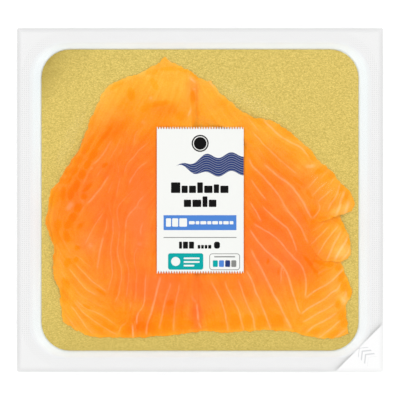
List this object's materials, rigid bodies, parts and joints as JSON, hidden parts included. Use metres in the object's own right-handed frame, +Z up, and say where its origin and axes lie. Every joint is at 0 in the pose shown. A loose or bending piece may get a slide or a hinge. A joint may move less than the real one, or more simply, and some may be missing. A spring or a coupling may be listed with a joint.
{
  "type": "clear-topped pack of sliced smoked salmon",
  "caption": "Flat vacuum pack of thin smoked salmon slices fanned out on a gold card in a shallow white web, under clear film with a paper label.",
  "frame": {"origin": "middle of the pack's footprint, on the flat floor that it rests on", "axes": "+Z up through the clear window, +X to the right and +Y to the top edge as the label is read"},
  "size_m": [0.22, 0.2066, 0.0098],
  "materials": {
    "web": "white formed plastic film, satin, with a fine knurled seal band round the rim",
    "card": "gold laminated card with a fine fibrous grain",
    "salmon": "moist translucent orange fish with pale chevron fat lines",
    "film": "clear glossy lidding film",
    "label": null,
    "tab": "unsealed white film corner with faint grey chevrons"
  },
  "bodies": {
    "root": {"formed_web": "web", "gold_card": "card", "slice_under": "salmon", "slice_right_low": "salmon", "slice_right_middle": "salmon", "slice_right_high": "salmon", "slice_left": "salmon", "lid_film": "film", "paper_label": "label", "peel_tab": "tab"}
  },
  "joints": []
}
